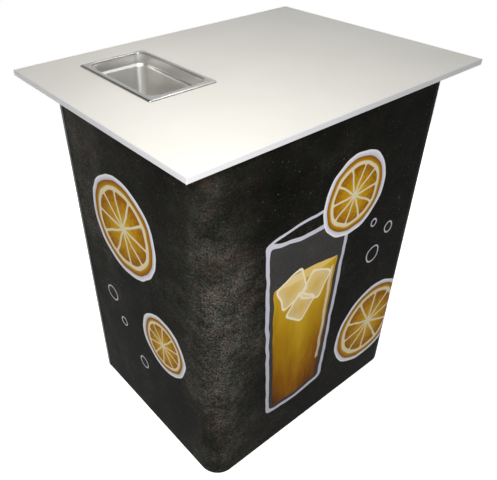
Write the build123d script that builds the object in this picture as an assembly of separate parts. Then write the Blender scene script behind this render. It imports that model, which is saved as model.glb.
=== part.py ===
from build123d import *
import os

# Promotional bar counter: a white worktop with a steel ice pan let into it, on a body wrapped in a
# printed sheet that is bent round both front corners and open at the back, where the staff stand.
# Sizes are in millimetres. X runs along the front, +Y points to the staff side and +Z is up.
# The origin is on the floor, under the middle of the worktop.

# Worktop
top_length = 800.0
top_width = 600.0
top_height = 900.0
top_thick = 12.0
top_band_thick = 2.0
top_band_land = 0.8

# Ice pan of the quarter size in the catering module
pan_rim_length = 265.0
pan_rim_width = 162.0
pan_rim_radius = 6.0
pan_rim_height = 3.5
pan_rim_land = 0.5
pan_flange = 12.0
pan_wall = 1.0
pan_depth = 100.0
pan_mouth_radius = 24.0
pan_mouth_draft = 0.8
pan_shoulder_depth = 20.0
pan_shoulder_drop = 4.0
pan_shoulder_step = 3.2
pan_foot_draft = 8.0
pan_foot_radius = 27.0
pan_floor_round = 12.0
pan_post_gap = 12.5
pan_back_gap = 21.5
pan_hole_clearance = 2.0

# Wrapped body
side_overhang = 62.5
front_overhang = 30.0
back_overhang = 60.0
bend_radius = 50.0
film_thick = 0.3
sheet_thick = 3.0
sheet_floor_gap = 2.0
sheet_top_gap = 0.5

# Trim pushed over the sheet's two open back edges
trim_wall = 1.0
trim_leg = 8.0

# Mounting tape between the sheet and the frame
tape_thick = 1.0
tape_width = 25.0
tape_margin = 2.0

# Frame: base board, posts, top rails and shelf battens
base_thick = 16.0
base_band_thick = 1.0
post_flat = 3.0
front_post_depth = 60.0
back_post_depth = 40.0
rail_thick = 16.0
rail_height = 70.0
batten_width = 20.0
batten_height = 30.0
batten_end_inset = 8.0

# Loose shelf
shelf_height = 450.0
shelf_thick = 16.0
shelf_band_thick = 1.0
shelf_side_gap = 1.5
shelf_front_gap = 4.0
shelf_back_inset = 5.0

# Dowels that locate the worktop on the posts
dowel_diameter = 10.0
dowel_length = 35.0
dowel_chamfer = 1.5
dowel_hole_clearance = 0.4
dowel_hole_spare = 1.0
dowel_hole_cover = 4.0

# Floor glides and their nails
glide_diameter = 20.0
glide_height = 5.0
glide_round = 1.5
nail_diameter = 2.2
nail_head_diameter = 6.0
nail_head_height = 1.0
nail_head_sink = 1.0
nail_point_cover = 4.0

# Angle brackets in the corners between rails and posts
bracket_leg = 25.0
bracket_width = 20.0
bracket_thick = 2.0
bracket_hole_at = 15.0

# Screws
bracket_screw_diameter = 3.5
bracket_screw_head = 7.0
bracket_screw_head_height = 2.4
bracket_screw_cover = 4.0
base_screw_diameter = 5.0
base_screw_head = 9.5
base_screw_length = 50.0
base_screw_edge = 9.0
batten_screw_diameter = 4.0
batten_screw_head = 8.0
batten_screw_length = 45.0
batten_screw_edge = 7.5
recess_width = 0.9
recess_depth = 1.1
screw_clearance = 0.05

# Places and sizes that follow from those above
rest_level = top_height - top_thick
top_band_round = top_band_thick - top_band_land
body_half = top_length / 2 - side_overhang
body_front = front_overhang - top_width / 2
body_back = top_width / 2 - back_overhang
sheet_inset = film_thick + sheet_thick
sheet_heights = (sheet_floor_gap, rest_level - sheet_top_gap)
frame_inset = sheet_inset + tape_thick
frame_half = body_half - frame_inset
frame_front = body_front + frame_inset
post_width = bend_radius - frame_inset + post_flat
post_inner = frame_half - post_width
base_low = glide_height
base_top = base_low + base_thick
rail_low = rest_level - rail_height
rail_middle = (rail_low + rest_level) / 2
batten_top = shelf_height - shelf_thick
batten_low = batten_top - batten_height
front_post_back = frame_front + front_post_depth
back_post_front = body_back - back_post_depth
front_post_middle = frame_front + front_post_depth / 2
back_post_middle = body_back - back_post_depth / 2
post_middle_x = frame_half - post_width / 2
sides = (("left", -1), ("right", 1))
post_rows = (front_post_middle, back_post_middle)
post_middles = [(side * post_middle_x, y) for _, side in sides for y in post_rows]
pan_rim_round = pan_rim_height - pan_rim_land
pan_mouth_length = pan_rim_length - 2 * pan_flange
pan_mouth_width = pan_rim_width - 2 * pan_flange
pan_centre_x = pan_post_gap + pan_mouth_width / 2 - post_inner
pan_centre_y = body_back - pan_back_gap - pan_mouth_length / 2
dowel_stand = top_thick - dowel_hole_cover - dowel_hole_spare
nail_tip = base_top - nail_point_cover
bracket_screw_length = bracket_thick + rail_thick - bracket_screw_cover
base_screw_offset = post_width / 2 - base_screw_edge
batten_screw_offset = batten_height / 2 - batten_screw_edge


def block(x_span, y_span, z_span):
    """Box between two values on each axis, given in either order."""
    spans = [sorted(span) for span in (x_span, y_span, z_span)]
    middle = [(low + high) / 2 for low, high in spans]
    size = [high - low for low, high in spans]
    return Pos(*middle) * Box(*size)


def slab(plan, z_low, z_high):
    """Flat plan raised between two heights."""
    return extrude(Pos(0, 0, z_low) * plan, z_high - z_low)


def rod(x, y, z_low, z_high, diameter):
    """Upright round bar."""
    return Pos(x, y, (z_low + z_high) / 2) * Cylinder(diameter / 2, z_high - z_low)


def body_plan(inset):
    """Plan of the body set in from its outside, round at both front corners, with the back edge kept."""
    front = body_front + inset
    outline = Pos(0, (front + body_back) / 2) * Rectangle(2 * (body_half - inset), body_back - front)
    front_corners = outline.vertices().group_by(Axis.Y)[0]
    return fillet(front_corners, bend_radius - inset)


# Worktop

def pan_hole():
    """Cut-out in the worktop, a clearance larger than the pan's mouth."""
    length = pan_mouth_length + 2 * pan_hole_clearance
    width = pan_mouth_width + 2 * pan_hole_clearance
    plan = RectangleRounded(width, length, pan_mouth_radius + pan_hole_clearance)
    return slab(Pos(pan_centre_x, pan_centre_y) * plan, rest_level, top_height)


def tabletop_board():
    length = top_length - 2 * top_band_thick
    width = top_width - 2 * top_band_thick
    board = slab(Rectangle(length, width), rest_level, top_height) - pan_hole()
    hole_top = rest_level + dowel_stand + dowel_hole_spare
    hole_diameter = dowel_diameter + 2 * dowel_hole_clearance
    for x, y in post_middles:
        board -= rod(x, y, rest_level, hole_top, hole_diameter)
    return board


def long_edge_band(side):
    """Front or back band, over the whole length, with its outer edges and ends eased."""
    edge = side * top_width / 2
    half = top_length / 2
    band = block((-half, half), (edge, edge - side * top_band_thick), (rest_level, top_height))
    outer_face = band.faces().sort_by(Axis.Y)[-1 if side > 0 else 0]
    return fillet(outer_face.edges(), top_band_round)


def short_edge_band(side):
    """Left or right band, between the front and back bands."""
    edge = side * top_length / 2
    half = top_width / 2 - top_band_thick
    band = block((edge, edge - side * top_band_thick), (-half, half), (rest_level, top_height))
    outer_face = band.faces().sort_by(Axis.X)[-1 if side > 0 else 0]
    return fillet(outer_face.edges().filter_by(Axis.Y), top_band_round)


# Ice pan

def pan_body(inset):
    """Filled form of the pan below its flange: its outside, or set in by the wall, its hollow."""
    shoulder_top = -pan_shoulder_depth
    shoulder_foot = shoulder_top - pan_shoulder_drop
    floor = -pan_depth + inset
    levels = (
        (pan_rim_height, 0, pan_mouth_radius),
        (shoulder_top, pan_mouth_draft, pan_mouth_radius),
        (shoulder_foot, pan_mouth_draft + pan_shoulder_step, pan_foot_radius),
        (floor, pan_mouth_draft + pan_shoulder_step + pan_foot_draft, pan_foot_radius),
    )
    sections = []
    for z, draft, radius in levels:
        reach = 2 * (draft + inset)
        plan = RectangleRounded(pan_mouth_width - reach, pan_mouth_length - reach, radius - inset)
        sections.append(Pos(0, 0, z) * plan)
    stages = [loft(pair, ruled=True) for pair in zip(sections, sections[1:])]
    form = stages[0] + stages[1] + stages[2]
    floor_edges = form.faces().sort_by(Axis.Z)[0].edges()
    return fillet(floor_edges, pan_floor_round - inset)


def top_rounded(form, radius):
    """Form with the edges of its top face rounded."""
    return fillet(form.faces().sort_by(Axis.Z)[-1].edges(), radius)


def ice_pan():
    """Pressed pan with a rolled rim, a stacking shoulder and drawn-in walls."""
    rim_plan = RectangleRounded(pan_rim_width, pan_rim_length, pan_rim_radius)
    skirt_plan = RectangleRounded(
        pan_rim_width - 2 * pan_wall, pan_rim_length - 2 * pan_wall, pan_rim_radius - pan_wall
    )
    outside = pan_body(0)
    upper_skin = slab(rim_plan, 0, pan_rim_height) + outside - pan_body(pan_wall)
    under_rim = slab(skirt_plan, 0, pan_rim_height - pan_wall) - outside
    pan = top_rounded(upper_skin, pan_rim_round) - top_rounded(under_rim, pan_rim_round - pan_wall)
    return Pos(pan_centre_x, pan_centre_y, top_height) * pan


# Wrapped body

def wrap_layer(outside, thickness):
    """One layer of the wrap: left side, front and right side in one, open at the back."""
    plan = body_plan(outside) - body_plan(outside + thickness)
    return slab(plan, *sheet_heights)


def edge_trim(side):
    """Channel over one open back edge of the sheet, its inner leg in the gap that the tape keeps."""
    outer = side * (body_half + trim_wall)
    face = side * body_half
    sheet_inside = side * (body_half - sheet_inset)
    frame_face = side * frame_half
    legs = (body_back - trim_leg, body_back + trim_wall)
    channel = block((outer, face), legs, sheet_heights)
    channel += block((sheet_inside, frame_face), legs, sheet_heights)
    channel += block((outer, frame_face), (body_back, body_back + trim_wall), sheet_heights)
    return channel


def mounting_tape():
    """Strips of tape on the outer faces of the rails, the posts and the base board."""
    flat_end = body_half - bend_radius
    flat_front = body_front + bend_radius
    rail_heights = (rail_middle - tape_width / 2, rail_middle + tape_width / 2)
    post_heights = (base_top + tape_margin, rail_low - tape_margin)
    base_heights = (base_low + tape_margin, base_top - tape_margin)
    front_gap = (frame_front - tape_thick, frame_front)
    trim_end = body_back - trim_leg
    rail_reach = post_inner - tape_margin
    strips = [
        block((-rail_reach, rail_reach), front_gap, rail_heights),
        block((-flat_end, flat_end), front_gap, base_heights),
    ]
    for _, side in sides:
        side_gap = (side * frame_half, side * (frame_half + tape_thick))
        rail_run = (front_post_back + tape_margin, back_post_front - tape_margin)
        strips += [
            block(side_gap, (flat_front, front_post_back - tape_margin), post_heights),
            block(side_gap, (back_post_front + tape_margin, trim_end - tape_margin), post_heights),
            block(side_gap, rail_run, rail_heights),
            block(side_gap, (flat_front, trim_end - tape_margin), base_heights),
        ]
    return strips


# Fasteners

def cross_recess(head_diameter):
    """Cross-shaped driver recess, cut down from the origin."""
    reach = head_diameter / 2
    return Box(reach, recess_width, 2 * recess_depth) + Box(recess_width, reach, 2 * recess_depth)


def countersunk_form(diameter, head_diameter, length):
    """Wood screw without its recess, with its head's face at the origin and its point down -Z."""
    head_height = (head_diameter - diameter) / 2
    point_height = diameter
    straight_end = point_height - length
    form = Pos(0, 0, -head_height / 2) * Cone(diameter / 2, head_diameter / 2, head_height)
    form += rod(0, 0, straight_end, -head_height, diameter)
    form += Pos(0, 0, straight_end - point_height / 2) * Cone(0, diameter / 2, point_height)
    return form


def countersunk_screw(diameter, head_diameter, length):
    return countersunk_form(diameter, head_diameter, length) - cross_recess(head_diameter)


def countersunk_hole(diameter, head_diameter, length):
    """Room for that screw in the wood."""
    extra = 2 * screw_clearance
    return countersunk_form(diameter + extra, head_diameter + extra, length + extra)


def pan_head_screw():
    """Bracket screw with the underside of its head at the origin and its point down -Z."""
    radius = bracket_screw_diameter / 2
    straight_end = bracket_screw_diameter - bracket_screw_length
    head = rod(0, 0, 0, bracket_screw_head_height, bracket_screw_head)
    head = fillet(head.edges().group_by(Axis.Z)[-1], bracket_screw_head_height / 2)
    head -= Pos(0, 0, bracket_screw_head_height) * cross_recess(bracket_screw_head)
    screw = head + rod(0, 0, straight_end, 0, bracket_screw_diameter)
    screw += Pos(0, 0, straight_end - radius) * Cone(0, radius, bracket_screw_diameter)
    return screw


def pan_head_hole():
    """Room for a bracket screw's shank."""
    return rod(0, 0, -bracket_screw_length, bracket_thick, bracket_screw_diameter + 2 * screw_clearance)


def bracket_planes():
    """Corner frame of each bracket: X along the rail and Y along the post, at half the rail's height."""
    planes = []
    for _, side in sides:
        rail_face = side * (frame_half - rail_thick)
        corners = (
            ((side * post_inner, frame_front + rail_thick, rail_middle), (-side, 0, 0), (0, 1, 0)),
            ((rail_face, front_post_back, rail_middle), (0, 1, 0), (-side, 0, 0)),
            ((rail_face, back_post_front, rail_middle), (0, -1, 0), (-side, 0, 0)),
        )
        for origin, along_rail, along_post in corners:
            up = Vector(along_rail).cross(Vector(along_post))
            planes.append(Plane(origin=origin, x_dir=along_rail, z_dir=up))
    return planes


def bracket_screw_planes(corner):
    """Head seats of one bracket's two screws, with Z out of the wood."""
    seats = (
        Plane(origin=(bracket_hole_at, bracket_thick, 0), z_dir=(0, 1, 0)),
        Plane(origin=(bracket_thick, bracket_hole_at, 0), z_dir=(1, 0, 0)),
    )
    return [Plane(corner.location * seat.location) for seat in seats]


def angle_bracket(corner):
    half = bracket_width / 2
    bracket = block((0, bracket_leg), (0, bracket_thick), (-half, half))
    bracket += block((0, bracket_thick), (0, bracket_leg), (-half, half))
    bracket = corner * bracket
    for seat in bracket_screw_planes(corner):
        bracket -= seat * Pos(0, 0, -bracket_thick) * pan_head_hole()
    return bracket


bracket_corners = bracket_planes()
bracket_seats = [seat for corner in bracket_corners for seat in bracket_screw_planes(corner)]
base_seats = [
    Plane(origin=(x + step * base_screw_offset, y, base_low), z_dir=(0, 0, -1))
    for x, y in post_middles
    for step in (-1, 1)
]
batten_middle = (batten_low + batten_top) / 2
batten_seats = [
    Plane(origin=(side * (post_inner - batten_width), y, z), z_dir=(-side, 0, 0))
    for _, side in sides
    for y in post_rows
    for z in (batten_middle - batten_screw_offset, batten_middle + batten_screw_offset)
]
base_screw_size = (base_screw_diameter, base_screw_head, base_screw_length)
batten_screw_size = (batten_screw_diameter, batten_screw_head, batten_screw_length)
bracket_holes = [seat * pan_head_hole() for seat in bracket_seats]
base_holes = [seat * countersunk_hole(*base_screw_size) for seat in base_seats]
batten_holes = [seat * countersunk_hole(*batten_screw_size) for seat in batten_seats]


def glide(x, y):
    """Round plastic pad under the base board, with a sunk hole for its nail."""
    pad = rod(x, y, 0, glide_height, glide_diameter)
    pad = fillet(pad.edges().group_by(Axis.Z)[0], glide_round)
    pad -= rod(x, y, 0, nail_head_sink + nail_head_height, nail_head_diameter)
    return pad - rod(x, y, 0, glide_height, nail_diameter)


def glide_nail(x, y):
    head_top = nail_head_sink + nail_head_height
    head = rod(x, y, nail_head_sink, head_top, nail_head_diameter)
    return head + rod(x, y, head_top, nail_tip, nail_diameter)


# Frame

def base_board():
    board = slab(body_plan(frame_inset), base_low, base_top)
    board -= block((-body_half, body_half), (body_back - base_band_thick, body_back), (base_low, base_top))
    for x, y in post_middles:
        board -= rod(x, y, base_low, nail_tip, nail_diameter)
    return board - base_holes


def post(side, y_span):
    """Upright in one corner of the frame. The front ones follow the sheet's bend."""
    corner = block((side * frame_half, side * post_inner), y_span, (base_top, rest_level))
    upright = corner & slab(body_plan(frame_inset), base_top, rest_level)
    middle = (y_span[0] + y_span[1]) / 2
    dowel_foot = rest_level + dowel_stand - dowel_length
    upright -= rod(side * post_middle_x, middle, dowel_foot, rest_level, dowel_diameter)
    return upright - base_holes - batten_holes - bracket_holes


def front_top_rail():
    rail = block((-post_inner, post_inner), (frame_front, frame_front + rail_thick), (rail_low, rest_level))
    return rail - bracket_holes


def side_top_rail(side):
    run = (front_post_back, back_post_front)
    rail = block((side * frame_half, side * (frame_half - rail_thick)), run, (rail_low, rest_level))
    return rail - bracket_holes


def shelf_batten(side):
    run = (frame_front + batten_end_inset, body_back - batten_end_inset)
    batten = block((side * post_inner, side * (post_inner - batten_width)), run, (batten_low, batten_top))
    return batten - batten_holes


def dowel(x, y):
    peg = rod(x, y, rest_level + dowel_stand - dowel_length, rest_level + dowel_stand, dowel_diameter)
    return chamfer(peg.edges().group_by(Axis.Z)[-1], dowel_chamfer)


# Shelf

shelf_half = post_inner - shelf_side_gap
shelf_front = body_front + sheet_inset + shelf_front_gap
shelf_back = body_back - shelf_back_inset


def shelf_board():
    return block(
        (-shelf_half, shelf_half), (shelf_front, shelf_back - shelf_band_thick), (batten_top, shelf_height)
    )


def shelf_edge_band():
    return block(
        (-shelf_half, shelf_half), (shelf_back - shelf_band_thick, shelf_back), (batten_top, shelf_height)
    )


# Every node and its solids

nodes = {
    "tabletop_board": tabletop_board(),
    "front_edge_band": long_edge_band(-1),
    "back_edge_band": long_edge_band(1),
    "left_edge_band": short_edge_band(-1),
    "right_edge_band": short_edge_band(1),
    "ice_pan": ice_pan(),
    "wrap_sheet": wrap_layer(film_thick, sheet_thick),
    "wrap_print": wrap_layer(0, film_thick),
    "mounting_tape": mounting_tape(),
    "base_board": base_board(),
    "base_edge_band": block(
        (-frame_half, frame_half), (body_back - base_band_thick, body_back), (base_low, base_top)
    ),
    "front_top_rail": front_top_rail(),
    "shelf_board": shelf_board(),
    "shelf_edge_band": shelf_edge_band(),
    "locating_dowels": [dowel(x, y) for x, y in post_middles],
    "rail_brackets": [angle_bracket(corner) for corner in bracket_corners],
    "bracket_screws": [seat * pan_head_screw() for seat in bracket_seats],
    "base_screws": [seat * countersunk_screw(*base_screw_size) for seat in base_seats],
    "batten_screws": [seat * countersunk_screw(*batten_screw_size) for seat in batten_seats],
    "floor_glides": [glide(x, y) for x, y in post_middles],
    "glide_nails": [glide_nail(x, y) for x, y in post_middles],
}
for name, side in sides:
    nodes[f"front_{name}_post"] = post(side, (frame_front, front_post_back))
    nodes[f"back_{name}_post"] = post(side, (back_post_front, body_back))
    nodes[f"{name}_top_rail"] = side_top_rail(side)
    nodes[f"{name}_shelf_batten"] = shelf_batten(side)
    nodes[f"{name}_edge_trim"] = edge_trim(side)

os.makedirs("parts", exist_ok=True)
for name, shape in nodes.items():
    solids = shape if isinstance(shape, list) else [shape]
    children = [solid for piece in solids for solid in piece.solids()]
    export_step(Compound(children=children), f"parts/{name}.step")
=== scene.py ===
"""Promotional bar counter: finishes, printed wrap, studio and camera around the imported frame."""
import math

import bpy
from mathutils import Matrix, Vector


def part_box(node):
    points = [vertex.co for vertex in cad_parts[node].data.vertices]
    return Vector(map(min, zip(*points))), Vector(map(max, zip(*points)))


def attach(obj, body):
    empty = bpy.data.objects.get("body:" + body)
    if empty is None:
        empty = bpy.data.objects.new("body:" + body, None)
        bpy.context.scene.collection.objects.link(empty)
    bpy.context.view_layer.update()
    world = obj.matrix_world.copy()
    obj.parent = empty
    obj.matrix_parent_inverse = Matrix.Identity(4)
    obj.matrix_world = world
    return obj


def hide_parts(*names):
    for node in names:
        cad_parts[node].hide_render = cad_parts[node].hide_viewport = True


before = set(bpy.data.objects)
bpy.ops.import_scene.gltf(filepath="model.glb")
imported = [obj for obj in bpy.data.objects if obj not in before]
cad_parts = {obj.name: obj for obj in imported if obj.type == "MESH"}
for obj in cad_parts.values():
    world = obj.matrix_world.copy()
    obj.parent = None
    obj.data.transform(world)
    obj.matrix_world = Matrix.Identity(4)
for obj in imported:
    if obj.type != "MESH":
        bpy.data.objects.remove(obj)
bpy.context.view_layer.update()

MM = 0.001

# Photograph's frame in pixels, and where its viewpoint was
PHOTO_WIDTH = 497
PHOTO_HEIGHT = 480
PHOTO_FOCAL = 558.7
PHOTO_AXIS = (222.9, 266.4)
SENSOR_WIDTH = 36.0
CAMERA_PLACE = (-0.8138, -0.8792, 1.2968)
CAMERA_HEADING = math.radians(39.73)
CAMERA_TILT = math.radians(38.22)
CAMERA_ROLL = math.radians(-0.35)

# Wrap's bends, which the printed picture runs round
BEND_RADIUS = 50 * MM

# Phase of a wave texture per unit of its scaled place
WAVE_RATE = 20.0


def linear(hex_colour):
    """Colour written as sRGB hex, in the linear values that shaders work with."""
    channels = [int(hex_colour[i:i + 2], 16) / 255 for i in (1, 3, 5)]
    values = [c / 12.92 if c <= 0.04045 else ((c + 0.055) / 1.055) ** 2.4 for c in channels]
    return (*values, 1.0)


def per(size_mm):
    """Texture scale whose features are about that many millimetres across."""
    return 1 / (size_mm * MM)


def feed(tree, node, inputs):
    """Feed a node's inputs, by name or in order, with values or with other nodes and their sockets."""
    shown = [socket for socket in node.inputs if socket.enabled]
    for key, value in inputs.items() if isinstance(inputs, dict) else enumerate(inputs):
        socket = node.inputs[key] if isinstance(key, str) else shown[key]
        if isinstance(value, bpy.types.Node):
            value = next(output for output in value.outputs if output.enabled)
        if isinstance(value, bpy.types.NodeSocket):
            tree.links.new(value, socket)
        else:
            socket.default_value = value


def add(tree, kind, inputs=(), stops=(), **settings):
    """Add a node with its settings, its links and, on a colour ramp, its stops."""
    node = tree.nodes.new(kind)
    for name, value in settings.items():
        setattr(node, name, value)
    for place, colour in stops:
        first = place == stops[0][0]
        element = node.color_ramp.elements[0] if first else node.color_ramp.elements.new(place)
        element.position = place
        element.color = linear(colour)
    if stops:
        node.color_ramp.elements.remove(node.color_ramp.elements[-1])
    feed(tree, node, inputs)
    return node


def new_material(name, finish):
    """Material with one shader, and the values that are the same all over it."""
    material = bpy.data.materials.new(name)
    material.use_nodes = True
    tree = material.node_tree
    tree.nodes.clear()
    shader = add(tree, "ShaderNodeBsdfPrincipled", finish)
    add(tree, "ShaderNodeOutputMaterial", {"Surface": shader})
    return material, tree, shader


def dress(material, *names):
    """Give CAD nodes a finish."""
    for name in names:
        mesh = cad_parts[name].data
        mesh.materials.clear()
        mesh.materials.append(material)


# Board materials

def melamine_board(name, face):
    """Chipboard faced with white melamine: satin paper on both broad faces, raw chips on cut edges."""
    material, tree, shader = new_material(name, {"IOR": 1.5})
    place = add(tree, "ShaderNodeTexCoord").outputs["Object"]
    clouds = add(tree, "ShaderNodeTexNoise", {"Vector": place, "Scale": per(220), "Detail": 3.0})
    paper = add(tree, "ShaderNodeValToRGB", (clouds,), stops=((0.3, "#e3e0d7"), (0.7, "#eae7df")))
    flakes = add(tree, "ShaderNodeTexVoronoi", {"Vector": place, "Scale": per(4)})
    chips = add(
        tree, "ShaderNodeValToRGB", (flakes.outputs["Color"],),
        stops=((0.1, "#6d4e2e"), (0.45, "#a98458"), (0.7, "#c6a577"), (0.9, "#d8bd93")),
    )
    normal = add(tree, "ShaderNodeSeparateXYZ", (add(tree, "ShaderNodeNewGeometry").outputs["Normal"],))
    facing = add(tree, "ShaderNodeMath", (normal.outputs[face],), operation="ABSOLUTE")
    faced = add(tree, "ShaderNodeMath", (facing, 0.5), operation="GREATER_THAN")
    colour = add(tree, "ShaderNodeMix", (faced, chips, paper), data_type="RGBA")
    # The paper's press plate leaves a fine pearl grain of about 1 mm, drawn at 2.5 mm to show
    pearl = add(tree, "ShaderNodeTexNoise", {"Vector": place, "Scale": per(2.5), "Detail": 2.0})
    smudges = add(tree, "ShaderNodeTexNoise", {"Vector": place, "Scale": per(70), "Detail": 4.0})
    satin = add(tree, "ShaderNodeMapRange", {"Value": smudges, "To Min": 0.34, "To Max": 0.5})
    rough = add(tree, "ShaderNodeMix", (faced, 0.85, satin), data_type="FLOAT")
    grain = add(tree, "ShaderNodeMix", (faced, flakes.outputs["Distance"], pearl), data_type="FLOAT")
    bump = add(tree, "ShaderNodeBump", {"Height": grain, "Strength": 0.12, "Distance": 0.3 * MM})
    feed(tree, shader, {"Base Color": colour, "Roughness": rough, "Normal": bump})
    return material


def abs_edging():
    """White ABS edging, extruded and then scraped flush: satin, with faint lines along its run."""
    material, tree, shader = new_material("abs_edging", {"IOR": 1.52})
    place = add(tree, "ShaderNodeTexCoord").outputs["Object"]
    lines = add(tree, "ShaderNodeMapping", {"Vector": place, "Scale": (4.0, 4.0, per(1.6))})
    scrape = add(tree, "ShaderNodeTexNoise", {"Vector": lines, "Scale": 1.0, "Detail": 2.0})
    colour = add(tree, "ShaderNodeValToRGB", (scrape,), stops=((0.3, "#d3d2d3"), (0.7, "#dcdbdc")))
    rough = add(tree, "ShaderNodeMapRange", {"Value": scrape, "To Min": 0.36, "To Max": 0.5})
    bump = add(tree, "ShaderNodeBump", {"Height": scrape, "Strength": 0.15, "Distance": 0.2 * MM})
    feed(tree, shader, {"Base Color": colour, "Roughness": rough, "Normal": bump})
    return material


# Metals

def satin_stainless():
    """Stainless steel pressed from satin sheet: soft drawn lines, a brighter rim, and grime with painted
    contact shade at its foot.
    """
    material, tree, shader = new_material("satin_stainless", {"Metallic": 1.0})
    place = add(tree, "ShaderNodeTexCoord").outputs["Object"]
    # The satin's own lines are about 0.1 mm wide, drawn at 1.5 mm to show
    drawn = add(tree, "ShaderNodeMapping", {"Vector": place, "Scale": (per(1.5), per(60), per(1.5))})
    lines = add(tree, "ShaderNodeTexNoise", {"Vector": drawn, "Scale": 1.0, "Detail": 3.0})
    colour = add(tree, "ShaderNodeValToRGB", (lines,), stops=((0.3, "#cfceca"), (0.7, "#dad9d5")))
    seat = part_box("tabletop_board")[1].z
    height = add(tree, "ShaderNodeSeparateXYZ", (place,)).outputs["Z"]
    above = add(tree, "ShaderNodeMath", (height, seat), operation="SUBTRACT")
    rim = add(tree, "ShaderNodeMath", (above, 0.0), operation="GREATER_THAN")
    patches = add(tree, "ShaderNodeTexNoise", {"Vector": place, "Scale": per(25), "Detail": 3.0})
    # Grime and painted contact shade reach about 2 mm up the rim's foot, in patches
    grime_and_foot_shade = add(tree, "ShaderNodeMath", (patches, 2.5 * MM, above), operation="MULTIPLY_ADD")
    grime_and_foot_shade = add(
        tree, "ShaderNodeMapRange",
        {"Value": grime_and_foot_shade, "From Min": 3.6 * MM, "From Max": 1.8 * MM, "To Max": 0.85},
    )
    grime_and_foot_shade = add(tree, "ShaderNodeMath", (grime_and_foot_shade, rim), operation="MULTIPLY")
    # Darkens the rim's foot: grime, and painted shade where the rim meets the worktop
    colour = add(tree, "ShaderNodeMix", (grime_and_foot_shade, colour, linear("#504c3c")), data_type="RGBA")
    satin = add(tree, "ShaderNodeMapRange", {"Value": lines, "To Min": 0.26, "To Max": 0.36})
    rough = add(tree, "ShaderNodeMix", (rim, satin, 0.16), data_type="FLOAT")
    rough = add(tree, "ShaderNodeMath", (grime_and_foot_shade, 0.25, rough), operation="MULTIPLY_ADD")
    bump = add(tree, "ShaderNodeBump", {"Height": lines, "Strength": 0.015, "Distance": 0.05 * MM})
    feed(tree, shader, {"Base Color": colour, "Roughness": rough, "Normal": bump})
    return material


def zinc_steel():
    """Zinc-plated steel hardware: pale grey with the plating's soft blue and straw clouds."""
    material, tree, shader = new_material("zinc_steel", {"Metallic": 1.0})
    place = add(tree, "ShaderNodeTexCoord").outputs["Object"]
    clouds = add(tree, "ShaderNodeTexNoise", {"Vector": place, "Scale": per(6), "Detail": 3.0})
    colour = add(
        tree, "ShaderNodeValToRGB", (clouds,),
        stops=((0.3, "#aeb3ba"), (0.55, "#c3c5c6"), (0.75, "#c6c2b4")),
    )
    rough = add(tree, "ShaderNodeMapRange", {"Value": clouds, "To Min": 0.28, "To Max": 0.45})
    feed(tree, shader, {"Base Color": colour, "Roughness": rough})
    return material


# Woods

def planed_pine(name, grain):
    """Planed pine: straight rings of pale earlywood and narrow darker latewood, about 6 mm apart."""
    material, tree, shader = new_material(name, {"IOR": 1.5, "Roughness": 0.6})
    place = add(tree, "ShaderNodeTexCoord").outputs["Object"]
    stretch = {"Y": (1.0, 0.05, 1.0), "Z": (1.0, 1.0, 0.05)}[grain]
    along = add(tree, "ShaderNodeMapping", {"Vector": place, "Scale": stretch})
    ring_scale = per(6) * math.tau / WAVE_RATE
    rings = add(
        tree, "ShaderNodeTexWave",
        {"Vector": along, "Scale": ring_scale, "Distortion": 4.0, "Detail": 2.0, "Detail Scale": 0.5},
        wave_type="RINGS", rings_direction=grain, wave_profile="SAW",
    )
    fibres = add(tree, "ShaderNodeTexNoise", {"Vector": along, "Scale": per(1.5), "Detail": 3.0})
    ring_colour = add(
        tree, "ShaderNodeValToRGB", (rings.outputs["Fac"],),
        stops=((0.0, "#dfc08e"), (0.55, "#d9b57d"), (0.9, "#c0945a"), (1.0, "#d6b078")),
    )
    tint = add(tree, "ShaderNodeMapRange", {"Value": fibres, "To Min": 0.86, "To Max": 1.08})
    colour = add(tree, "ShaderNodeMix", (1.0, ring_colour, tint), data_type="RGBA", blend_type="MULTIPLY")
    bump = add(tree, "ShaderNodeBump", {"Height": fibres, "Strength": 0.2, "Distance": 0.3 * MM})
    feed(tree, shader, {"Base Color": colour, "Normal": bump})
    return material


def turned_beech():
    """Beech dowel: even pinkish brown with short dark ray flecks along the grain."""
    material, tree, shader = new_material("turned_beech", {"IOR": 1.5, "Roughness": 0.55})
    place = add(tree, "ShaderNodeTexCoord").outputs["Object"]
    along = add(tree, "ShaderNodeMapping", {"Vector": place, "Scale": (per(1.2), per(1.2), per(8))})
    flecks = add(tree, "ShaderNodeTexNoise", {"Vector": along, "Scale": 1.0, "Detail": 2.0})
    colour = add(
        tree, "ShaderNodeValToRGB", (flecks,),
        stops=((0.3, "#9a6a3f"), (0.5, "#c1935f"), (0.7, "#cda272")),
    )
    bump = add(tree, "ShaderNodeBump", {"Height": flecks, "Strength": 0.2, "Distance": 0.2 * MM})
    feed(tree, shader, {"Base Color": colour, "Normal": bump})
    return material


# Plastics

def moulded_plastic(name, dark, pale, grain_mm, rough_range):
    """Moulded or extruded plastic: an even colour and a fine grain, with scuffs that change its sheen."""
    smooth, matt = rough_range
    material, tree, shader = new_material(name, {"IOR": 1.5})
    place = add(tree, "ShaderNodeTexCoord").outputs["Object"]
    grain = add(tree, "ShaderNodeTexNoise", {"Vector": place, "Scale": per(grain_mm), "Detail": 3.0})
    scuffs = add(tree, "ShaderNodeTexNoise", {"Vector": place, "Scale": per(45), "Detail": 5.0})
    colour = add(tree, "ShaderNodeValToRGB", (scuffs,), stops=((0.3, dark), (0.7, pale)))
    rough = add(tree, "ShaderNodeMapRange", {"Value": scuffs, "To Min": smooth, "To Max": matt})
    bump = add(tree, "ShaderNodeBump", {"Height": grain, "Strength": 0.15, "Distance": 0.2 * MM})
    feed(tree, shader, {"Base Color": colour, "Roughness": rough, "Normal": bump})
    return material


# Printed wrap

PRINT_EDGE = 0.6 * MM
OUTLINE = 11 * MM
WAVER = 12 * MM
CHALK = "#cfcdd8"
CREAM = "#eadfb9"

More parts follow.
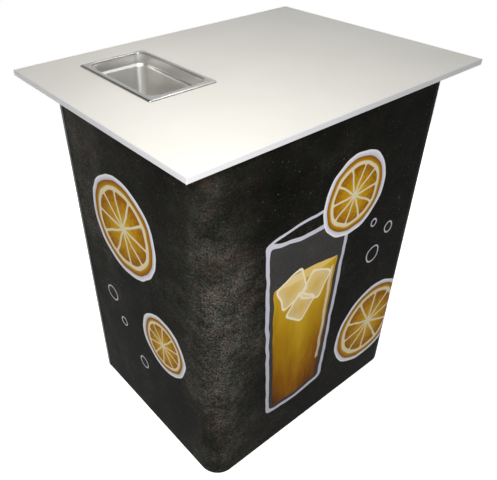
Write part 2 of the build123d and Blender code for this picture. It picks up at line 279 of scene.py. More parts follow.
# Slice of orange: how many segments, and sizes as shares of its radius
SEGMENTS = 10
SEGMENT_WALL_HALF = 0.02
SEGMENT_ROUNDING = 0.07
SEGMENT_EDGE = 0.012
PEEL_AND_PITH = 0.19
PITH = 0.07
PITH_BLEND = 0.02
PEEL_BLEND = 0.01

# Tall drink
GLASS_WALL = 1.6 * OUTLINE
GLASS_ROUNDING = 25 * MM
DRINK_ROUNDING = 12 * MM
GLEAM_HALF = 5 * MM
ICE_ROUNDING = 20 * MM
ICE_EDGE = 2.5 * MM
BUBBLE_EDGE = 2 * MM


def unrolled_wrap(tree):
    """Place on the flat wrap: X along it from the middle of the front, and Y up from the floor."""
    low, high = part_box("wrap_print")
    flat_half = high.x - BEND_RADIUS
    flat_front = low.y + BEND_RADIUS
    place = add(tree, "ShaderNodeTexCoord").outputs["Object"]
    x, y, z = add(tree, "ShaderNodeSeparateXYZ", (place,)).outputs
    across = add(tree, "ShaderNodeMath", (x,), operation="ABSOLUTE")
    past_side = add(tree, "ShaderNodeMath", (across, flat_half), operation="SUBTRACT")
    past_side = add(tree, "ShaderNodeMath", (past_side, 0.0), operation="MAXIMUM")
    past_front = add(tree, "ShaderNodeMath", (flat_front, y), operation="SUBTRACT")
    past_front = add(tree, "ShaderNodeMath", (past_front, 0.0), operation="MAXIMUM")
    turn = add(tree, "ShaderNodeMath", (past_side, past_front), operation="ARCTAN2")
    on_front = add(tree, "ShaderNodeMath", (across, flat_half), operation="MINIMUM")
    run = add(tree, "ShaderNodeMath", (turn, BEND_RADIUS, on_front), operation="MULTIPLY_ADD")
    on_side = add(tree, "ShaderNodeMath", (y, flat_front), operation="SUBTRACT")
    on_side = add(tree, "ShaderNodeMath", (on_side, 0.0), operation="MAXIMUM")
    run = add(tree, "ShaderNodeMath", (run, on_side), operation="ADD")
    hand = add(tree, "ShaderNodeMath", (x,), operation="SIGN")
    run = add(tree, "ShaderNodeMath", (run, hand), operation="MULTIPLY")
    return add(tree, "ShaderNodeCombineXYZ", (run, z, 0.0))


def slate_ground(tree, sheet):
    """Dark slate: soft clouds, painted light and shade on its bend and faces, brown and green tints, grain
    and specks.
    """
    depth = add(
        tree, "ShaderNodeTexNoise",
        {"Vector": sheet, "Scale": per(170), "Detail": 6.0, "Roughness": 0.6},
    )
    # Painted light and shade: place and reach on the flat wrap in metres, and how much paler or darker the
    # slate is there. The pale ones paint a highlight down the left bend and a sheen high on the left side.
    # The dark one near the top of the front paints the worktop's shade, and the others darken the slate low
    # by the left bend and across the right of the front.
    for place, reach, strength in (
        ((-0.315, 0.33), (0.16, 1.1), 0.43), ((-0.305, 0.36), (0.06, 0.25), 0.18),
        ((-0.43, 0.5), (0.14, 0.3), 0.11), ((-0.22, 0.45), (0.18, 0.28), 0.06),
        ((-0.2, 0.74), (0.16, 0.2), -0.08), ((-0.42, 0.1), (0.2, 0.4), -0.14),
        ((-0.85, 0.8), (0.45, 0.6), 0.38), ((0.36, 0.55), (0.3, 0.7), -0.16),
    ):
        painted_light_and_shade = add(
            tree, "ShaderNodeMapping",
            {"Vector": sheet, "Location": (*place, 0), "Scale": (*reach, 1)}, vector_type="TEXTURE",
        )
        painted_light_and_shade = add(tree, "ShaderNodeTexGradient", {"Vector": painted_light_and_shade}, gradient_type="SPHERICAL")
        depth = add(tree, "ShaderNodeMath", (painted_light_and_shade, strength, depth), operation="MULTIPLY_ADD")
    # The grain shows most where the slate is pale, from its clouds and its painted light, and fades towards
    # the top
    grain_share = add(
        tree, "ShaderNodeMapRange",
        {"Value": depth, "From Min": 0.45, "From Max": 0.85, "To Min": 0.7, "To Max": 1.0},
    )
    height = add(tree, "ShaderNodeSeparateXYZ", (sheet,)).outputs["Y"]
    calm = add(
        tree, "ShaderNodeMapRange",
        {"Value": height, "From Min": 0.85, "From Max": 0.55, "To Min": 0.45, "To Max": 1.0},
    )
    grain_share = add(tree, "ShaderNodeMath", (grain_share, calm), operation="MULTIPLY")
    stone = add(
        tree, "ShaderNodeValToRGB", (depth,),
        stops=((0.3, "#121310"), (0.5, "#1e1e1a"), (0.68, "#302f2a"), (0.95, "#575550")),
    )
    tints = add(tree, "ShaderNodeTexNoise", {"Vector": sheet, "Scale": per(38), "Detail": 4.0})
    tint = add(
        tree, "ShaderNodeValToRGB", (tints.outputs["Color"],),
        stops=((0.35, "#667662"), (0.5, "#7f7f78"), (0.65, "#8f776b")),
    )
    stone = add(tree, "ShaderNodeMix", (0.7, stone, tint), data_type="RGBA", blend_type="OVERLAY")
    # Grain: size in millimetres, range of the noise, and the shades at its ends
    for size_mm, low, high, dark, light in (
        (48, 0.3, 0.7, 0.35, 1.65), (13, 0.34, 0.66, 0.52, 1.48), (4.2, 0.38, 0.64, 0.0, 2.3),
    ):
        grain = add(
            tree, "ShaderNodeTexNoise",
            {"Vector": sheet, "Scale": per(size_mm), "Detail": 4.0, "Roughness": 0.75},
        )
        grain = add(
            tree, "ShaderNodeMapRange",
            {"Value": grain, "From Min": low, "From Max": high, "To Min": dark, "To Max": light},
        )
        stone = add(tree, "ShaderNodeMix", (grain_share, stone, grain), data_type="RGBA", blend_type="MULTIPLY")
    specks = add(tree, "ShaderNodeTexNoise", {"Vector": sheet, "Scale": per(6), "Detail": 2.0})
    specks = add(
        tree, "ShaderNodeMapRange",
        {"Value": specks, "From Min": 0.67, "From Max": 0.8, "To Max": 0.45},
    )
    return add(tree, "ShaderNodeMix", (specks, stone, linear("#8d887b")), data_type="RGBA")


def orange_slice(tree, sheet, under, place, radius, turn):
    """Round slice of orange: segments, pith and peel inside a chalk outline."""
    local = add(
        tree, "ShaderNodeMapping",
        {"Vector": sheet, "Location": (*place, 0), "Rotation": (0, 0, turn), "Scale": (radius, radius, 1)},
        vector_type="TEXTURE",
    )
    reach = add(tree, "ShaderNodeVectorMath", (local,), operation="LENGTH")
    u, v, _ = add(tree, "ShaderNodeSeparateXYZ", (local,)).outputs
    angle = add(tree, "ShaderNodeMath", (v, u), operation="ARCTAN2")
    wedge = add(tree, "ShaderNodeMath", (angle, SEGMENTS / math.tau), operation="MULTIPLY")
    wedge = add(tree, "ShaderNodeMath", (wedge, 0.5), operation="PINGPONG")
    wall = add(tree, "ShaderNodeMath", (wedge, reach), operation="MULTIPLY")
    wall = add(
        tree, "ShaderNodeMath", (wall, math.tau / SEGMENTS, -SEGMENT_WALL_HALF), operation="MULTIPLY_ADD",
    )
    peel_reach = 1 - OUTLINE / radius
    flesh_reach = peel_reach - PEEL_AND_PITH
    pith_reach = flesh_reach + PITH
    rim = add(tree, "ShaderNodeMath", (flesh_reach, reach), operation="SUBTRACT")
    inside = add(tree, "ShaderNodeMath", (wall, rim, SEGMENT_ROUNDING), operation="SMOOTH_MIN")
    juicy = add(tree, "ShaderNodeMapRange", {"Value": inside, "From Min": 0.0, "From Max": SEGMENT_EDGE})
    cells = add(tree, "ShaderNodeTexVoronoi", {"Vector": local, "Scale": 13.0})
    shade = add(tree, "ShaderNodeMath", (cells.outputs["Distance"], 0.3, reach), operation="MULTIPLY_ADD")
    flesh = add(
        tree, "ShaderNodeValToRGB", (shade,),
        stops=((0.15, "#e2b72f"), (0.5, "#c9971a"), (0.85, "#9c620c")),
    )
    peel = add(
        tree, "ShaderNodeValToRGB", (reach,),
        stops=(
            (0.0, CREAM), (pith_reach, CREAM), (pith_reach + PITH_BLEND, "#c18e14"),
            (peel_reach - PEEL_BLEND, "#8f520a"), (peel_reach, CHALK), (1.0, CHALK),
        ),
    )
    picture = add(tree, "ShaderNodeMix", (juicy, peel, flesh), data_type="RGBA")
    edge = PRINT_EDGE / radius
    cover = add(tree, "ShaderNodeMapRange", {"Value": reach, "From Min": 1 + edge, "From Max": 1 - edge})
    return add(tree, "ShaderNodeMix", (cover, under, picture), data_type="RGBA")


def ice_cube(tree, sheet, under, place, size, turn):
    """Ice cube in the drink: pale, with a bright rounded edge."""
    local = add(
        tree, "ShaderNodeMapping",
        {"Vector": sheet, "Location": (*place, 0), "Rotation": (0, 0, turn)}, vector_type="TEXTURE",
    )
    far = add(tree, "ShaderNodeVectorMath", (local,), operation="ABSOLUTE")
    u, v, _ = add(tree, "ShaderNodeSeparateXYZ", (far,)).outputs
    edge = add(tree, "ShaderNodeMath", (u, v, ICE_ROUNDING), operation="SMOOTH_MAX")
    edge = add(tree, "ShaderNodeMath", (edge, size / 2), operation="SUBTRACT")
    glow = add(
        tree, "ShaderNodeMapRange",
        {"Value": edge, "From Min": -size / 2, "From Max": 0.0, "To Min": 0.15, "To Max": 0.6},
    )
    inside = add(tree, "ShaderNodeMath", (edge, 0.0), operation="LESS_THAN")
    cover = add(tree, "ShaderNodeMath", (glow, inside), operation="MULTIPLY")
    picture = add(tree, "ShaderNodeMix", (cover, under, linear("#fbe9bd")), data_type="RGBA")
    line = add(tree, "ShaderNodeMath", (edge, 0.0, ICE_EDGE), operation="COMPARE")
    return add(tree, "ShaderNodeMix", (line, picture, linear("#fff3d2")), data_type="RGBA")


def tall_drink(tree, sheet, under, place, height, foot_half, rim_half, fill):
    """Tall glass with an amber drink and ice, drawn with chalk outlines."""
    rise = 0.16 * rim_half
    bow_rate = rise / rim_half ** 2
    flare = (rim_half - foot_half) / height
    local = add(tree, "ShaderNodeMapping", {"Vector": sheet, "Location": (*place, 0)}, vector_type="TEXTURE")
    u, v, _ = add(tree, "ShaderNodeSeparateXYZ", (local,)).outputs
    bow = add(tree, "ShaderNodeMath", (u, u), operation="MULTIPLY")
    bow = add(tree, "ShaderNodeMath", (bow, bow_rate), operation="MULTIPLY")
    lift = add(tree, "ShaderNodeMath", (v, bow), operation="SUBTRACT")
    half = add(tree, "ShaderNodeMath", (lift, flare, foot_half), operation="MULTIPLY_ADD")
    aside = add(tree, "ShaderNodeMath", (u,), operation="ABSOLUTE")
    side = add(tree, "ShaderNodeMath", (aside, half), operation="SUBTRACT")
    end = add(tree, "ShaderNodeMath", (lift, height / 2), operation="SUBTRACT")
    end = add(tree, "ShaderNodeMath", (end,), operation="ABSOLUTE")
    end = add(tree, "ShaderNodeMath", (end, height / 2), operation="SUBTRACT")
    shell = add(tree, "ShaderNodeMath", (side, end, GLASS_ROUNDING), operation="SMOOTH_MAX")
    inside = add(tree, "ShaderNodeMath", (shell, 0.0), operation="LESS_THAN")
    tinted = add(tree, "ShaderNodeMath", (inside, 0.16), operation="MULTIPLY")
    picture = add(tree, "ShaderNodeMix", (tinted, under, linear("#8d8b8c")), data_type="RGBA")
    # Drink, paler towards its surface and its middle
    bore = add(tree, "ShaderNodeMath", (shell, GLASS_WALL), operation="ADD")
    level = add(tree, "ShaderNodeMath", (lift, fill), operation="SUBTRACT")
    wet = add(tree, "ShaderNodeMath", (bore, level, DRINK_ROUNDING), operation="SMOOTH_MAX")
    wet = add(tree, "ShaderNodeMapRange", {"Value": wet, "From Min": PRINT_EDGE, "From Max": -PRINT_EDGE})
    swirl = add(tree, "ShaderNodeMapping", {"Vector": local, "Scale": (per(40), per(160), 1)})
    swirl = add(
        tree, "ShaderNodeTexNoise",
        {"Vector": swirl, "Scale": 1.0, "Detail": 3.0, "Distortion": 0.8},
    )
    depth = add(tree, "ShaderNodeMath", (lift, 0.75 / fill), operation="MULTIPLY")
    depth = add(tree, "ShaderNodeMath", (swirl, 0.45, depth), operation="MULTIPLY_ADD")
    edgewise = add(tree, "ShaderNodeMath", (aside, half), operation="DIVIDE")
    depth = add(tree, "ShaderNodeMath", (edgewise, -0.3, depth), operation="MULTIPLY_ADD")
    amber = add(
        tree, "ShaderNodeValToRGB", (depth,),
        stops=((0.05, "#5e2f05"), (0.3, "#97610b"), (0.55, "#bd9118"), (0.85, "#dfb631")),
    )
    picture = add(tree, "ShaderNodeMix", (wet, picture, amber), data_type="RGBA")
    # Surface of the drink, between its near and far arcs
    above = add(tree, "ShaderNodeMath", (v, bow), operation="ADD")
    fill_half = foot_half + flare * fill - GLASS_WALL
    far_level = fill + 2 * bow_rate * fill_half ** 2
    lens = add(tree, "ShaderNodeMath", (above, far_level), operation="SUBTRACT")
    below = add(tree, "ShaderNodeMath", (fill, lift), operation="SUBTRACT")
    lens = add(tree, "ShaderNodeMath", (lens, below), operation="MAXIMUM")
    lens = add(tree, "ShaderNodeMapRange", {"Value": lens, "From Min": PRINT_EDGE, "From Max": -PRINT_EDGE})
    picture = add(tree, "ShaderNodeMix", (lens, picture, linear("#f0cd77")), data_type="RGBA")
    # Ice: steps across and up as shares of the drink, size as a share of its width, and turn
    x, y = place
    for step_x, step_y, size, turn in (
        (-0.42, -0.03, 0.38, 0.35), (0.35, -0.09, 0.36, -0.5), (-0.1, -0.2, 0.34, 0.9),
    ):
        spot = (x + step_x * fill_half, y + fill + step_y * fill)
        picture = ice_cube(tree, sheet, picture, spot, 2 * size * fill_half, turn)
    # Light along one side of the glass
    gleam = add(tree, "ShaderNodeMath", (half, -0.74, u), operation="MULTIPLY_ADD")
    gleam = add(tree, "ShaderNodeMath", (gleam, 0.0, GLEAM_HALF), operation="COMPARE")
    span = add(tree, "ShaderNodeMath", (lift, 0.45 * height, 0.28 * height), operation="COMPARE")
    gleam = add(tree, "ShaderNodeMath", (gleam, span), operation="MULTIPLY")
    gleam = add(tree, "ShaderNodeMath", (gleam, 0.55), operation="MULTIPLY")
    picture = add(tree, "ShaderNodeMix", (gleam, picture, linear("#fff6df")), data_type="RGBA")
    # Chalk outline and the far side of the rim
    line = add(tree, "ShaderNodeMath", (shell, 0.0, OUTLINE / 2), operation="COMPARE")
    picture = add(tree, "ShaderNodeMix", (line, picture, linear(CHALK)), data_type="RGBA")
    rim = add(tree, "ShaderNodeMath", (above, height + 2 * rise, OUTLINE / 3), operation="COMPARE")
    within = add(tree, "ShaderNodeMath", (aside, rim_half), operation="LESS_THAN")
    rim = add(tree, "ShaderNodeMath", (rim, within), operation="MULTIPLY")
    return add(tree, "ShaderNodeMix", (rim, picture, linear(CHALK)), data_type="RGBA")


def bubble(tree, sheet, under, place, radius):
    """Bubble: a thin ring of chalk."""
    offset = add(tree, "ShaderNodeVectorMath", (sheet, (*place, 0)), operation="DISTANCE")
    ring = add(tree, "ShaderNodeMath", (offset, radius, BUBBLE_EDGE), operation="COMPARE")
    return add(tree, "ShaderNodeMix", (ring, under, linear(CHALK)), data_type="RGBA")


def printed_film():
    """Printed film with a satin laminate: slate with an amber drink and oranges in chalk outlines."""
    # The laminate's sheen is kept low, because the pale studio in it would veil the dark print
    material, tree, shader = new_material("printed_film", {"IOR": 1.5, "Specular IOR Level": 0.01})
    sheet = unrolled_wrap(tree)
    colour = slate_ground(tree, sheet)
    # The drawing's lines waver by a few millimetres, as a hand's do
    waver = add(tree, "ShaderNodeTexNoise", {"Vector": sheet, "Scale": per(60), "Detail": 1.0})
    middle = (0.5, 0.5, 0.5)
    waver = add(tree, "ShaderNodeVectorMath", (waver.outputs["Color"], middle), operation="SUBTRACT")
    drawn = add(tree, "ShaderNodeVectorMath", (waver, (WAVER, WAVER, 0), sheet), operation="MULTIPLY_ADD")
    # Places on the flat wrap and sizes in metres, and turns in radians
    for place, radius, turn in (
        ((0.215, 0.215), 0.135, 0.2),
        ((-0.62, 0.61), 0.125, 0.5),
        ((-0.50, 0.34), 0.085, 0.9),
        ((0.64, 0.30), 0.12, 0.3),
    ):
        colour = orange_slice(tree, drawn, colour, place, radius, turn)
    colour = tall_drink(
        tree, drawn, colour, place=(-0.07, 0.12), height=0.52, foot_half=0.095, rim_half=0.125, fill=0.40,
    )
    colour = orange_slice(tree, drawn, colour, (0.06, 0.68), 0.1, 0.65)
    for place, radius in (
        ((0.17, 0.47), 0.022), ((0.215, 0.53), 0.014), ((0.15, 0.57), 0.01),
        ((-0.72, 0.36), 0.02), ((-0.68, 0.29), 0.012), ((-0.60, 0.20), 0.016),
    ):
        colour = bubble(tree, drawn, colour, place, radius)
    rub = add(tree, "ShaderNodeTexNoise", {"Vector": sheet, "Scale": per(90), "Detail": 4.0})
    rough = add(tree, "ShaderNodeMapRange", {"Value": rub, "To Min": 0.36, "To Max": 0.52})
    feed(tree, shader, {"Base Color": colour, "Roughness": rough})
    return material


# Ice pan, pressed from one sheet

PAN_WALL = 1.0 * MM
PAN_RIM_HEIGHT = 3.5 * MM
PAN_FLANGE = 12 * MM
PAN_RIM_RADIUS = 6 * MM
PAN_MOUTH_RADIUS = 24 * MM
PAN_CORNER_STEPS = 10
PAN_BEND_STEPS = 8
PAN_SEAM = 0.01 * MM
PAN_CREASE = math.radians(50)


def pan_profile(width, floor):
    """Line across the pan's upper skin, from the rim's foot in to the middle of the floor."""
    # Inset from the rim's edge, height over the worktop and rounding of each bend, in millimetres
    bends = (
        (0.0, 0.0, 0.0), (0.0, 3.1, 2.9), (7.0, 3.5, 6.0), (11.9, 3.4, 1.2),
        (12.8, -20.0, 3.0), (16.0, -24.0, 4.0), (24.0, floor / MM, 11.0), (width / 2 / MM, floor / MM, 0.0),
    )
    mesh = bpy.data.meshes.new("pan_profile")
    corners = [(inset * MM, 0, height * MM) for inset, height, _ in bends]
    mesh.from_pydata(corners, [(i, i + 1) for i in range(len(bends) - 1)], [])
    rounding = mesh.attributes.new("rounding", "FLOAT", "POINT")
    rounding.data.foreach_set("value", [radius * MM for _, _, radius in bends])
    return mesh


def pressing():
    """Nodes that carry a profile round a rectangle whose corners widen from the rim to the mouth."""
    tree = bpy.data.node_groups.new("pressing", "GeometryNodeTree")
    for name, kind in (
        ("Profile", "Geometry"), ("Width", "Float"), ("Length", "Float"), ("Flange", "Float"),
        ("Rim Radius", "Float"), ("Mouth Radius", "Float"), ("Corner Steps", "Int"), ("Finish", "Material"),
    ):
        tree.interface.new_socket(name, in_out="INPUT", socket_type=f"NodeSocket{kind}")
    tree.interface.new_socket("Pan", in_out="OUTPUT", socket_type="NodeSocketGeometry")
    given = add(tree, "NodeGroupInput").outputs
    line = add(tree, "GeometryNodeMeshToCurve", (given["Profile"],))
    rounding = add(tree, "GeometryNodeInputNamedAttribute", {"Name": "rounding"}, data_type="FLOAT")
    line = add(
        tree, "GeometryNodeFilletCurve",
        {"Curve": line, "Radius": rounding, "Count": PAN_BEND_STEPS, "Limit Radius": True}, mode="POLY",
    )
    line = add(tree, "GeometryNodeCurveToMesh", (line,))
    rows = add(tree, "GeometryNodeAttributeDomainSize", (line,)).outputs["Point Count"]
    # One corner of the pan takes its steps and one more, which crosses the straight side
    corner_points = add(tree, "ShaderNodeMath", (given["Corner Steps"], 1.0), operation="ADD")
    steps = add(tree, "ShaderNodeMath", (corner_points, 4.0), operation="MULTIPLY")
    columns = add(tree, "ShaderNodeMath", (steps, 1.0), operation="ADD")
    net = add(tree, "GeometryNodeMeshGrid", {"Vertices X": columns, "Vertices Y": rows})
    # The net is 1 by 1 about its middle, so its places become shares from 0 to 1
    net_place = add(tree, "GeometryNodeInputPosition")
    share = add(tree, "ShaderNodeVectorMath", (net_place, (0.5, 0.5, 0.0)), operation="ADD")
    u, v, _ = add(tree, "ShaderNodeSeparateXYZ", (share,)).outputs
    step = add(tree, "ShaderNodeMath", (u, steps), operation="MULTIPLY")
    step = add(tree, "ShaderNodeMath", (step,), operation="ROUND")
    last_row = add(tree, "ShaderNodeMath", (rows, 1.0), operation="SUBTRACT")
    row = add(tree, "ShaderNodeMath", (v, last_row), operation="MULTIPLY")
    row = add(tree, "ShaderNodeMath", (row,), operation="ROUND")
    line_place = add(tree, "GeometryNodeInputPosition")
    spot = add(
        tree, "GeometryNodeSampleIndex",
        {"Geometry": line, "Value": line_place, "Index": row}, data_type="FLOAT_VECTOR",
    )
    inset, _, height = add(tree, "ShaderNodeSeparateXYZ", (spot,)).outputs
    corner = add(tree, "ShaderNodeMath", (step, corner_points), operation="DIVIDE")
    corner = add(tree, "ShaderNodeMath", (corner,), operation="FLOOR")
    within = add(tree, "ShaderNodeMath", (step, corner_points), operation="MODULO")
    within = add(tree, "ShaderNodeMath", (within, given["Corner Steps"]), operation="DIVIDE")
    turn = add(tree, "ShaderNodeMath", (corner, within), operation="ADD")
    turn = add(tree, "ShaderNodeMath", (turn, math.pi / 2), operation="MULTIPLY")
    diagonal = add(tree, "ShaderNodeMath", (corner, math.pi / 2, math.pi / 4), operation="MULTIPLY_ADD")
    radius = add(
        tree, "ShaderNodeMapRange",
        {
            "Value": inset, "From Max": given["Flange"],
            "To Min": given["Rim Radius"], "To Max": given["Mouth Radius"],
        },
    )
    place = []
    for size, wave in ((given["Width"], "COSINE"), (given["Length"], "SINE")):
        half = add(tree, "ShaderNodeMath", (size, 0.5), operation="MULTIPLY")
        half = add(tree, "ShaderNodeMath", (half, inset), operation="SUBTRACT")
        if not place:
            radius = add(tree, "ShaderNodeMath", (radius, half), operation="MINIMUM")
        side = add(tree, "ShaderNodeMath", (diagonal,), operation=wave)
        side = add(tree, "ShaderNodeMath", (side,), operation="SIGN")
        centre = add(tree, "ShaderNodeMath", (half, radius), operation="SUBTRACT")
        centre = add(tree, "ShaderNodeMath", (centre, side), operation="MULTIPLY")
        arc = add(tree, "ShaderNodeMath", (turn,), operation=wave)
        place.append(add(tree, "ShaderNodeMath", (arc, radius, centre), operation="MULTIPLY_ADD"))
    place = add(tree, "ShaderNodeCombineXYZ", (*place, height))
    skin = add(tree, "GeometryNodeSetPosition", {"Geometry": net.outputs["Mesh"], "Position": place})
    skin = add(tree, "GeometryNodeMergeByDistance", {"Geometry": skin, "Distance": PAN_SEAM})
    skin = add(tree, "GeometryNodeSetShadeSmooth", {"Geometry": skin})
    skin = add(tree, "GeometryNodeRealizeInstances", {"Geometry": skin})
    skin = add(tree, "GeometryNodeSetMaterial", {"Geometry": skin, "Material": given["Finish"]})
    add(tree, "NodeGroupOutput", (skin,))
    return tree


def ice_pan(finish):
    """Pan with a rolled rim, a stacking shoulder and drawn-in walls, in place of its plainer solid."""
    low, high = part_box("ice_pan")
    seat = high.z - PAN_RIM_HEIGHT
    width, length = high.x - low.x, high.y - low.y
    drawn = bpy.data.objects.new("pan_drawing", pan_profile(width, low.z - seat + PAN_WALL))
    bpy.context.scene.collection.objects.link(drawn)
    press = drawn.modifiers.new("press", "NODES")
    press.node_group = pressing()
    sizes = {
        "Width": width, "Length": length, "Flange": PAN_FLANGE, "Rim Radius": PAN_RIM_RADIUS,
        "Mouth Radius": PAN_MOUTH_RADIUS, "Corner Steps": PAN_CORNER_STEPS, "Finish": finish,
    }
    for item in press.node_group.interface.items_tree:
        if item.name in sizes:
            press[item.identifier] = sizes[item.name]
    wall = drawn.modifiers.new("wall", "SOLIDIFY")
    wall.thickness = PAN_WALL
    wall.offset = -1.0
    wall.use_even_offset = True
    mesh = bpy.data.meshes.new_from_object(drawn.evaluated_get(bpy.context.evaluated_depsgraph_get()))
    bpy.data.objects.remove(drawn)
    mesh.transform(Matrix.Translation(((low.x + high.x) / 2, (low.y + high.y) / 2, seat)))
    mesh.set_sharp_from_angle(angle=PAN_CREASE)
    pan = bpy.data.objects.new("pressed_ice_pan", mesh)
    bpy.context.scene.collection.objects.link(pan)
    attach(pan, "ice_pan")
    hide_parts("ice_pan")


# Studio

# Floor's half width in metres, and the glow that lifts it to white where it is seen
FLOOR_REACH = 30.0
FLOOR_LIFT = 0.68

# Directions from the counter in which the studio is palest, and in which its dark card hangs
STUDIO_PALEST = (0.35, -0.45, 0.82)
STUDIO_CARD = (-0.3, 0.75, 0.6)


def stage_plane(name, corners):
    """Flat sheet of the studio, which is no piece of the counter."""
    mesh = bpy.data.meshes.new(name)
    mesh.from_pydata(corners, [], [(0, 1, 2, 3)])
    plane = bpy.data.objects.new(name, mesh)
    bpy.context.scene.collection.objects.link(plane)
    return plane


def seen_directly(tree):
    """1 for rays that show a surface or the world themselves, and 0 for rays that only gather light."""
    path = add(tree, "ShaderNodeLightPath").outputs
    seen = add(tree, "ShaderNodeMath", (path["Is Camera Ray"], path["Is Glossy Ray"]), operation="MAXIMUM")
    return add(tree, "ShaderNodeMath", (seen, path["Is Transmission Ray"]), operation="MAXIMUM")


def white_floor():
    """Pale floor that looks white and keeps the counter's soft shadow."""
    sides = ((-1, -1), (1, -1), (1, 1), (-1, 1))
    floor = stage_plane("floor", [(x * FLOOR_REACH, y * FLOOR_REACH, 0) for x, y in sides])
    material = bpy.data.materials.new("floor_paper")
    material.use_nodes = True
    tree = material.node_tree
    tree.nodes.clear()
    paper = add(tree, "ShaderNodeBsdfDiffuse", {"Color": linear("#e6e6e6")})
    lift = add(tree, "ShaderNodeEmission", {"Strength": FLOOR_LIFT})
    lifted = add(tree, "ShaderNodeAddShader", (paper, lift))
    surface = add(tree, "ShaderNodeMixShader", (seen_directly(tree), paper, lifted))
    add(tree, "ShaderNodeOutputMaterial", {"Surface": surface})
    floor.data.materials.append(material)


def studio_world():
    """Pale studio, brighter overhead than at the horizon, and softer as light than as a background."""
    world = bpy.data.worlds.new("studio")
    world.use_nodes = True
    bpy.context.scene.world = world
    tree = world.node_tree
    tree.nodes.clear()
    direction = add(tree, "ShaderNodeTexCoord").outputs["Generated"]
    height = add(tree, "ShaderNodeSeparateXYZ", (direction,)).outputs["Z"]
    soft = add(tree, "ShaderNodeMapRange", {"Value": height, "To Min": 0.2, "To Max": 0.5})
    # The background is white at the horizon and goes grey above the staff side and the left
    facing = add(tree, "ShaderNodeVectorMath", (direction, STUDIO_PALEST), operation="DOT_PRODUCT")
    grey = add(
        tree, "ShaderNodeMapRange",
        {"Value": facing.outputs["Value"], "From Min": 0.7, "From Max": 0.0, "To Min": 0.0, "To Max": 0.55},
    )
    raised = add(tree, "ShaderNodeMapRange", {"Value": height, "From Min": 0.08, "From Max": 0.35})
    grey = add(tree, "ShaderNodeMath", (grey, raised), operation="MULTIPLY")
    # A dark card hangs high above the staff side, where the pan's rim shows it
    card = add(tree, "ShaderNodeVectorMath", (direction, STUDIO_CARD), operation="DOT_PRODUCT")
    card = add(
        tree, "ShaderNodeMapRange",
        {"Value": card.outputs["Value"], "From Min": 0.66, "From Max": 0.82, "To Max": 0.95},
    )
    above = add(tree, "ShaderNodeMapRange", {"Value": height, "From Min": 0.26, "From Max": 0.4})
    card = add(tree, "ShaderNodeMath", (card, above), operation="MULTIPLY")
    grey = add(tree, "ShaderNodeMath", (grey, card), operation="MAXIMUM")
    pale = add(tree, "ShaderNodeMath", (1.0, grey), operation="SUBTRACT")
    strength = add(tree, "ShaderNodeMix", (seen_directly(tree), soft, pale), data_type="FLOAT")
    surface = add(tree, "ShaderNodeBackground", {"Color": linear("#ffffff"), "Strength": strength})
    add(tree, "ShaderNodeOutputWorld", {"Surface": surface})


def softbox(name, place, target, size, spread, power):
    """Square lamp aimed at a target, with its size in metres, spread in degrees and power in watts."""
    light = bpy.data.lights.new(name, "AREA")
    light.shape = "SQUARE"
    light.size = size
    light.spread = math.radians(spread)
    light.energy = power
    lamp = bpy.data.objects.new(name, light)
    aim = Vector(target) - Vector(place)
    lamp.matrix_world = Matrix.Translation(place) @ aim.to_track_quat("-Z", "Y").to_matrix().to_4x4()
    bpy.context.scene.collection.objects.link(lamp)


def photo_camera():
    """Camera at the photograph's viewpoint, with the shift that its framing needs."""
    forward = Vector((
        math.cos(CAMERA_TILT) * math.sin(CAMERA_HEADING),
        math.cos(CAMERA_TILT) * math.cos(CAMERA_HEADING),
        -math.sin(CAMERA_TILT),
    ))
    level = Vector((math.cos(CAMERA_HEADING), -math.sin(CAMERA_HEADING), 0))
    upright = level.cross(forward)
    right = math.cos(CAMERA_ROLL) * level + math.sin(CAMERA_ROLL) * upright
    up = math.cos(CAMERA_ROLL) * upright - math.sin(CAMERA_ROLL) * level
    data = bpy.data.cameras.new("photo_camera")
    data.sensor_width = SENSOR_WIDTH
    data.lens = SENSOR_WIDTH * PHOTO_FOCAL / PHOTO_WIDTH
    data.shift_x = (PHOTO_WIDTH / 2 - PHOTO_AXIS[0]) / PHOTO_WIDTH
    data.shift_y = (PHOTO_AXIS[1] - PHOTO_HEIGHT / 2) / PHOTO_WIDTH
    camera = bpy.data.objects.new("photo_camera", data)
    turn = Matrix((right, up, -forward)).transposed().to_4x4()
    camera.matrix_world = Matrix.Translation(CAMERA_PLACE) @ turn
    bpy.context.scene.collection.objects.link(camera)
    bpy.context.scene.camera = camera


# Finishes of the CAD nodes

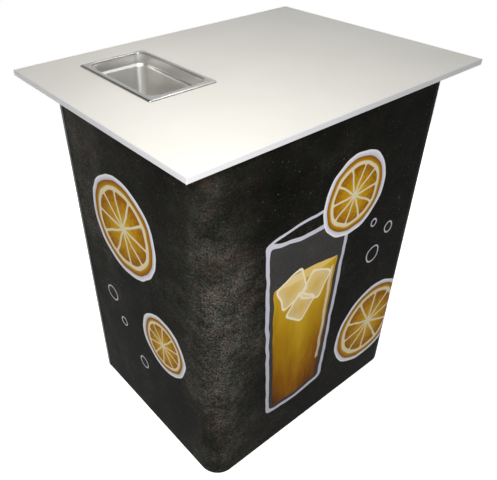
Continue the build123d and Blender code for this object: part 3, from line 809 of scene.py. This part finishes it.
edging = abs_edging()
pine_upright = planed_pine("pine_upright", "Z")
pine_along = planed_pine("pine_along", "Y")
zinc = zinc_steel()
dress(melamine_board("melamine_flat", "Z"), "tabletop_board", "base_board", "shelf_board")
dress(melamine_board("melamine_front", "Y"), "front_top_rail")
dress(melamine_board("melamine_side", "X"), "left_top_rail", "right_top_rail")
dress(edging, "front_edge_band", "back_edge_band", "left_edge_band", "right_edge_band")
dress(edging, "base_edge_band", "shelf_edge_band")
steel = satin_stainless()
dress(steel, "ice_pan")
ice_pan(steel)
dress(printed_film(), "wrap_print")
dress(moulded_plastic("rigid_pvc", "#e1e0dd", "#e5e4e1", 1.5, (0.5, 0.6)), "wrap_sheet")
dress(moulded_plastic("foam_tape", "#c9c5b8", "#d6d3c8", 1.2, (0.8, 0.95)), "mounting_tape")
dress(moulded_plastic("glide_nylon", "#bfbbb1", "#cfcbc2", 1.0, (0.4, 0.55)), "floor_glides")
trim = moulded_plastic("black_trim", "#121212", "#1b1b1a", 1.0, (0.35, 0.5))
dress(trim, "left_edge_trim", "right_edge_trim")
dress(pine_upright, "front_left_post", "front_right_post", "back_left_post", "back_right_post")
dress(pine_along, "left_shelf_batten", "right_shelf_batten")
dress(turned_beech(), "locating_dowels")
dress(zinc, "rail_brackets", "bracket_screws", "base_screws", "batten_screws", "glide_nails")

white_floor()
studio_world()
softbox("key_softbox", (-0.62, -0.55, 2.1), (-0.22, -0.14, 0.9), 0.6, 52.0, 0.55)
softbox("spark_softbox", (-1.08, -0.1, 2.34), (-0.15, 0.2, 0.85), 0.2, 60.0, 0.3)
softbox("fill_softbox", (-0.87, -0.95, 1.42), (-0.1, -0.1, 0.6), 0.25, 80.0, 2.55)
softbox("rim_softbox", (0.55, -0.18, 2.2), (-0.2, 0.0, 0.9), 0.25, 60.0, 0.16)
softbox("staff_side_softbox", (-0.2, 1.9, 0.45), (0.0, 0.0, 0.5), 0.7, 120.0, 7.0)
softbox("right_side_softbox", (2.1, 0.5, 0.5), (0.0, 0.2, 0.5), 0.7, 120.0, 8.0)
photo_camera()
bpy.context.scene.view_settings.view_transform = "Standard"
